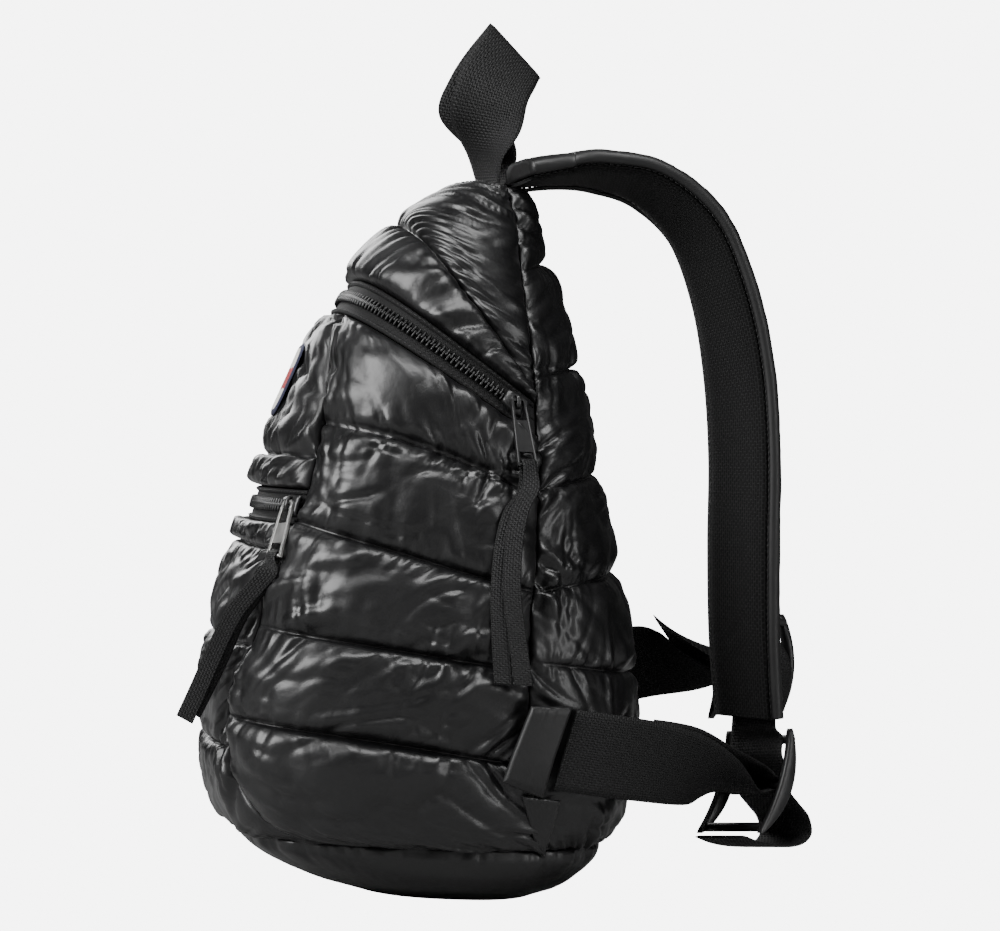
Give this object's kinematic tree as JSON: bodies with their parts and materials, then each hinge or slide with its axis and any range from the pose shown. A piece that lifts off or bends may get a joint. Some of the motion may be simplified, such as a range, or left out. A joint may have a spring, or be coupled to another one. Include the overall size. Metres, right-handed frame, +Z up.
{
  "type": "quilted puffer backpack",
  "caption": "Small quilted puffer backpack with a slanted zip, front pocket, grab handle and two padded, adjustable shoulder straps.",
  "frame": {"origin": "centre of the bag's resting area, on the flat underside of its base", "axes": "+Z up; -Y is the way the front pocket faces and +Y the way the straps face; +X is the side where both sliders stand"},
  "size_m": [0.2723, 0.3586, 0.4722],
  "materials": {
    "quilted_nylon": "glossy, padded and quilted",
    "zip_tape": "matte woven",
    "zip_teeth": "moulded, slight sheen",
    "dark_metal": "matt black coating",
    "puller_metal": "satin grey coating",
    "ribbon": "matte ribbed",
    "spacer_mesh": "open spacer mesh",
    "webbing": "matte woven webbing",
    "buckle_plastic": "satin",
    "badge_cloth": "flat embroidered cloth, blank"
  },
  "bodies": {
    "root": {"side_panel_right": "quilted_nylon", "side_panel_left": "quilted_nylon", "back_panel": "quilted_nylon", "cap_panel": "quilted_nylon", "upper_front_panel": "quilted_nylon", "front_pocket": "quilted_nylon", "base": "quilted_nylon", "top_binding": "quilted_nylon", "main_zip_tape_lower": "zip_tape", "main_zip_tape_upper": "zip_tape", "main_zip_chain": "zip_teeth", "main_zip_slider": "dark_metal", "main_zip_puller": "dark_metal", "main_zip_ribbon": "ribbon", "pocket_zip_tape_lower": "zip_tape", "pocket_zip_tape_upper": "zip_tape", "pocket_zip_chain": "zip_teeth", "pocket_zip_slider": "dark_metal", "pocket_zip_puller": "puller_metal", "pocket_zip_ribbon": "ribbon", "strap_pad_right": "quilted_nylon", "strap_pad_left": "quilted_nylon", "strap_lining_right": "spacer_mesh", "strap_lining_left": "spacer_mesh", "strap_webbing_right": "webbing", "strap_webbing_left": "webbing", "lower_webbing_right": "webbing", "lower_webbing_left": "webbing", "buckle_right": "buckle_plastic", "buckle_left": "buckle_plastic", "side_tab_right": "quilted_nylon", "side_tab_left": "quilted_nylon", "tab_wing_right": "quilted_nylon", "tab_wing_left": "quilted_nylon", "front_badge": "badge_cloth", "top_handle": "webbing"}
  },
  "joints": []
}
